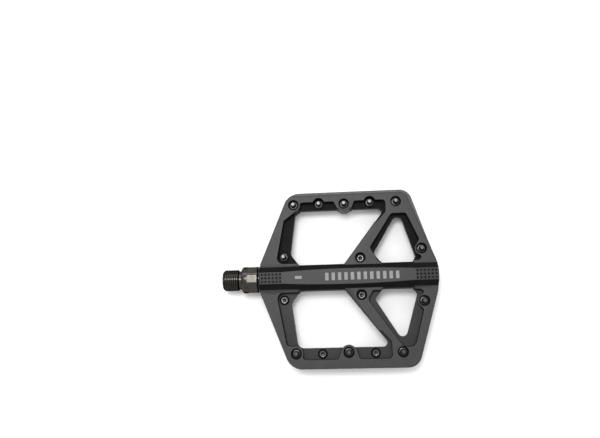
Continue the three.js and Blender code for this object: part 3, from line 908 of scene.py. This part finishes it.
def marks():
    """Plain bars printed where the real pedal has writing: on the barrel and on the rails' slopes."""
    bars = bar_row(12, -15.2, 4.2, length=2.2, half_width=2.5, height=BARREL_HEIGHT)
    bars += bar_row(1, -35.2, 0, length=4.4, half_width=1.0, height=BARREL_HEIGHT)
    printed("printed_bars", bars, "print")
    onto_slope = Matrix.Translation(SLOPE_MIDDLE) @ Matrix.Rotation(SLOPE_TILT, 4, "X")
    dashes = bar_row(7, -16, 7.6, length=4.6, half_width=0.6)
    for dash in dashes:
        dash.data.transform(onto_slope)
    printed("slope_dashes", dashes, "faint_print")


# ---- spindle ----

def thread_radius(x):
    """Radius of the crank thread at x as a function of the angle; it is left-handed."""
    run_in = progress(x, SPINDLE_END, SPINDLE_END + THREAD_RUN_IN)
    run_out = progress(x, THREAD_END, THREAD_END - THREAD_RUN_OUT)
    lowest = THREAD_ROOT - 0.25  # both ends of the thread run out to here
    limit = lowest + (THREAD_CREST - lowest) * min(run_in, run_out)

    def radius(angle):
        turn = (x / THREAD_PITCH + angle / math.tau) % 1
        from_crest = abs(turn - 0.5) * 2
        depth = (THREAD_CREST - THREAD_ROOT) * progress(from_crest, *THREAD_FLANK)
        return min(THREAD_CREST - depth, limit)
    return radius


def wrench_flats(angle):
    """Radius of the collar at an angle, where it has its eight wrench flats."""
    off = (angle + math.pi / 8) % (math.pi / 4) - math.pi / 8
    return min(COLLAR_RADIUS, COLLAR_FLAT_DISTANCE / math.cos(off))


def spindle_socket():
    """From the bottom of the hexagon socket out to the spindle's end face."""
    bottom, key = SPINDLE_END + SPINDLE_KEY_DEPTH, hexagon(SPINDLE_KEY)
    return [
        (bottom + 1.4, 0.4), (bottom, 3.9), (bottom, key), (SPINDLE_END + 0.35, key),
        (SPINDLE_END + 0.05, hexagon(4.3, 4.9)), (SPINDLE_END, 5.1), (SPINDLE_END, 5.85),
    ]


def spindle_thread():
    """Enough rows for the thread's flanks to show."""
    steps, length = 130, THREAD_END - SPINDLE_END
    places = [SPINDLE_END + length * k / steps for k in range(steps + 1)]
    return [(x, thread_radius(x)) for x in places]


def spindle_collar():
    """The undercut, the shoulder with its relief, a groove round the collar, and the wrench flats."""
    flat_start, flat_end = COLLAR_FLATS
    groove = COLLAR_RADIUS - 0.3
    return [
        (THREAD_END + 0.3, NECK), (COLLAR - 0.15, NECK),
        (COLLAR + 0.1, NECK + 0.2), (COLLAR + 0.15, 7.25), (COLLAR, 7.3),
        (COLLAR, COLLAR_RADIUS - 0.9), (COLLAR + 0.1, COLLAR_RADIUS - 0.75),
        (COLLAR + 0.8, COLLAR_RADIUS - 0.06), (COLLAR + 0.95, COLLAR_RADIUS),
        (COLLAR + 2.6, COLLAR_RADIUS), (COLLAR + 2.7, groove),
        (COLLAR + 3.1, groove), (COLLAR + 3.2, COLLAR_RADIUS),
        (flat_start, COLLAR_RADIUS), (flat_start + 0.05, wrench_flats),
        (flat_end - 0.05, wrench_flats), (flat_end, COLLAR_RADIUS),
        (COLLAR_END - 0.4, COLLAR_RADIUS), (COLLAR_END - 0.05, COLLAR_RADIUS - 0.35),
        (COLLAR_END, COLLAR_RADIUS - 0.5),
    ]


def spindle_journals():
    """The part inside the platform, down to the stud that the bearings, washer and nut sit on."""
    bush_step = BUSH[0] - 0.4
    return [
        (COLLAR_END, SEAL_JOURNAL), (bush_step, SEAL_JOURNAL), (bush_step, BUSH_JOURNAL),
        (BUSH[1] + 1, BUSH_JOURNAL), (BUSH[1] + 3, SHAFT), (BEARING_SHOULDER, SHAFT),
        (BEARING_SHOULDER, BEARING_JOURNAL), (STUD_END - 0.6, BEARING_JOURNAL),
        (STUD_END, BEARING_JOURNAL - 0.6), (STUD_END, 0.4),
    ]


def spindle():
    profile = spindle_socket() + spindle_thread() + spindle_collar() + spindle_journals()
    finish_piece(turned("spindle", profile, 120), "spindle", "spindle_steel", 24)


# ---- seal, bush, bearings, nut and cap ----

def ring_profile(x0, x1, inner, outer, chamfer=0.12):
    """The section of a plain ring with its edges broken, for turning as a closed loop."""
    return (
        (x0, inner + chamfer), (x0, outer - chamfer), (x0 + chamfer, outer), (x1 - chamfer, outer),
        (x1, outer - chamfer), (x1, inner + chamfer), (x1 - chamfer, inner), (x0 + chamfer, inner),
    )


def seal():
    """A lip with a shallow groove round it outside, and a sleeve that goes into the bore."""
    inner, sleeve = SEAL_JOURNAL + 0.2, 7.05
    groove = SEAL_RADIUS - 0.16
    x0, x1 = SEAL
    profile = (
        (x0, inner + 0.15), (x0, SEAL_RADIUS - 0.6), (x0 + 0.1, SEAL_RADIUS - 0.25),
        (x0 + 0.3, SEAL_RADIUS - 0.02), (x0 + 0.45, SEAL_RADIUS), (x0 + 0.52, groove),
        (x0 + 0.6, groove), (x0 + 0.67, SEAL_RADIUS), (x1 - 0.12, SEAL_RADIUS),
        (x1, SEAL_RADIUS - 0.15), (x1, sleeve), (SEAL_NOSE - 0.2, sleeve),
        (SEAL_NOSE, sleeve - 0.15), (SEAL_NOSE, inner + 0.1), (SEAL_NOSE - 0.1, inner),
        (x0 + 0.15, inner),
    )
    finish_piece(turned("seal", profile, closed=True), "lip_seal", "nitrile")


def bush():
    """The plain bush that the spindle runs in at the crank end."""
    profile = ring_profile(*BUSH, BUSH_JOURNAL + 0.2, BUSH_JOURNAL + 1.2, 0.25)
    finish_piece(turned("bush", profile, closed=True), "bush", "bronze")


def race(node, x0, inner, outer, groove_outside):
    """A bearing race: a plain ring with a shallow ball groove on one of its round faces."""
    x1 = x0 + BEARING_WIDTH
    chamfer, depth, half_groove, steps = 0.2, 0.12, 0.7, 5
    middle = (x0 + x1) / 2
    face = outer if groove_outside else inner
    inward = -depth if groove_outside else depth
    across = [2 * k / steps - 1 for k in range(steps + 1)]
    groove = [(middle + half_groove * t, face + inward * (1 - t * t)) for t in across]
    outside = [(x0 + chamfer, outer), (x1 - chamfer, outer)]
    inside = [(x1 - chamfer, inner), (x0 + chamfer, inner)]
    if groove_outside:
        outside = [outside[0], *groove, outside[1]]
    else:
        inside = [inside[0], *reversed(groove), inside[1]]
    profile = [(x0, outer - chamfer), *outside, (x1, outer - chamfer)]
    profile += [(x1, inner + chamfer), *inside, (x0, inner + chamfer)]
    finish_piece(turned(node, profile, closed=True), node, "bearing_steel")


def ball(angle, x):
    """One ball of a bearing, at an angle round its circle."""
    work = bmesh.new()
    bmesh.ops.create_uvsphere(work, u_segments=24, v_segments=14, radius=BALL_RADIUS)
    place = Matrix.Rotation(angle, 4, "X") @ Matrix.Translation((x, 0, BALL_CIRCLE))
    bmesh.ops.transform(work, matrix=place, verts=work.verts)
    mesh = bpy.data.meshes.new("ball")
    work.to_mesh(mesh)
    work.free()
    return add_object("ball", mesh)


def ball_cage(node, x):
    """The bearing's balls on a thin ring, joined into one mesh."""
    half = 0.3
    profile = ring_profile(x - half, x + half, BALL_CIRCLE - 0.35, BALL_CIRCLE + 0.35)
    cage = turned(node, profile, 72, closed=True)
    for k in range(BALL_COUNT):
        combine(cage, ball(math.tau * k / BALL_COUNT, x), "UNION")
    finish_piece(cage, node, "bearing_steel")


def shield(node, x0):
    """A rubber shield between the races."""
    profile = ring_profile(x0, x0 + SHIELD_THICK, *SHIELD)
    finish_piece(turned(node, profile, closed=True), node, "nitrile")


def bearings():
    """Two sealed ball bearings, side by side."""
    for label, x0 in BEARINGS.items():
        name = f"bearing_{label}_"
        x1 = x0 + BEARING_WIDTH
        race(name + "outer_race", x0, *OUTER_RACE, groove_outside=False)
        race(name + "inner_race", x0, *INNER_RACE, groove_outside=True)
        ball_cage(name + "ball_cage", (x0 + x1) / 2)
        shield(name + "shield_a", x0 + SHIELD_INSET)
        shield(name + "shield_b", x1 - SHIELD_INSET - SHIELD_THICK)


def lock_washer():
    """The flat washer between the outer bearing and the nut."""
    profile = ring_profile(*WASHER, STUD_CLEARANCE, 4.5)
    finish_piece(turned("washer", profile, closed=True), "lock_washer", "bearing_steel")


def lock_nut():
    """A hexagon nut with its corners turned down at both ends."""
    x0, x1 = NUT
    flat, corner = 4.5, 5.0
    nut, turned_down = hexagon(flat), hexagon(flat, corner)
    profile = (
        (x0, STUD_CLEARANCE + 0.25), (x0, flat), (x0 + 0.3, turned_down), (x0 + 0.5, nut),
        (x1 - 0.5, nut), (x1 - 0.3, turned_down), (x1, flat), (x1, STUD_CLEARANCE + 0.25),
        (x1 - 0.25, STUD_CLEARANCE), (x0 + 0.25, STUD_CLEARANCE),
    )
    finish_piece(turned("nut", profile, closed=True), "lock_nut", "bearing_steel", 20)


def end_cap():
    """A plug with a groove for its ring, and a raised rim round a hexagon socket."""
    x0, x1 = CAP
    radius, groove, key = CAP_RADIUS, CAP_RADIUS - 0.9, hexagon(CAP_KEY)
    groove_start, groove_end = CAP_GROOVE
    bottom = x1 - 3
    profile = (
        (x0, 0.4), (x0, radius - 0.2), (x0 + 0.2, radius), (groove_start, radius),
        (groove_start, groove), (groove_end, groove), (groove_end, radius), (x1 - 0.5, radius),
        (x1 - 0.15, radius - 0.2), (x1, radius - 0.55), (x1, 5.3), (x1 - 0.25, 5.1),
        (x1 - 0.25, 4.5), (x1, 4.3), (x1, 3.75), (x1 - 0.25, hexagon(CAP_KEY + 0.05, 3.5)),
        (x1 - 0.3, key), (bottom, key), (bottom, 2.6), (bottom - 0.4, 0.4),
    )
    finish_piece(turned("end_cap", profile), "end_cap", "smooth_shaded_nylon", 24)


def end_cap_ring():
    """The rubber ring in the cap's groove."""
    start, end = CAP_GROOVE
    profile = ring_profile(start + 0.2, end - 0.2, CAP_RADIUS - 0.7, CAP_RADIUS + 0.05, 0.3)
    finish_piece(turned("ring", profile, closed=True), "end_cap_ring", "nitrile")


# ---- pins ----

def pin_mesh(name, shank_length):
    """A pin standing on its flange at z = 0, tip up, with a hexagon socket in its shank's end."""
    flange, key, shank_end = hexagon(PIN_FLANGE), hexagon(PIN_KEY), -shank_length
    profile = (
        (PIN_HEIGHT, 0.3), (PIN_HEIGHT, 0.95), (PIN_HEIGHT - 0.12, 1.2),
        (PIN_HEIGHT - 0.45, PIN_TIP), (1.75, PIN_TIP), (1.4, 1.62), (1.22, 1.9), (1.2, 2.45),
        (1.08, hexagon(PIN_FLANGE, 2.85)), (0.9, hexagon(PIN_FLANGE, 3.02)), (0.78, flange),
        (0.1, flange), (0.0, hexagon(PIN_FLANGE - 0.1)), (0.0, PIN_SHANK),
        (shank_end + 0.15, PIN_SHANK), (shank_end, PIN_SHANK - 0.12), (shank_end, 1.5),
        (shank_end + 0.1, key), (shank_end + 2, key), (shank_end + 2.3, 0.3),
    )
    body = stood_up(turned(name, profile, 48))
    body.data.transform(Matrix.Scale(MM, 4))
    dress(body, "pin_steel", 24)
    mesh = body.data
    bpy.data.objects.remove(body)
    return mesh


def pins():
    """Each pin goes where its CAD node is: its box gives the axis, the tip and the kind of pin."""
    short, long = pin_mesh("short_pin", SHORT_SHANK), pin_mesh("long_pin", LONG_SHANK)
    between = (PIN_HEIGHT + (SHORT_SHANK + LONG_SHANK) / 2) * MM
    for node in sorted(n for n in SLOT_OF if n.startswith("pin_")):
        low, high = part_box(node)
        piece = add_object("fine_" + node, short if high.z - low.z < between else long)
        up = node.endswith("_up")
        seat = high.z - PIN_HEIGHT * MM if up else low.z + PIN_HEIGHT * MM
        centre = (low + high) / 2
        turn = Matrix.Identity(4) if up else Matrix.Rotation(math.pi, 4, "X")
        piece.matrix_world = Matrix.Translation((centre.x, centre.y, seat)) @ turn
        stand_for(piece, node)


# ---- the scene ----

make_camera()
make_studio()
make_floor()
platform()
marks()
spindle()
seal()
bush()
bearings()
lock_washer()
lock_nut()
end_cap()
end_cap_ring()
pins()
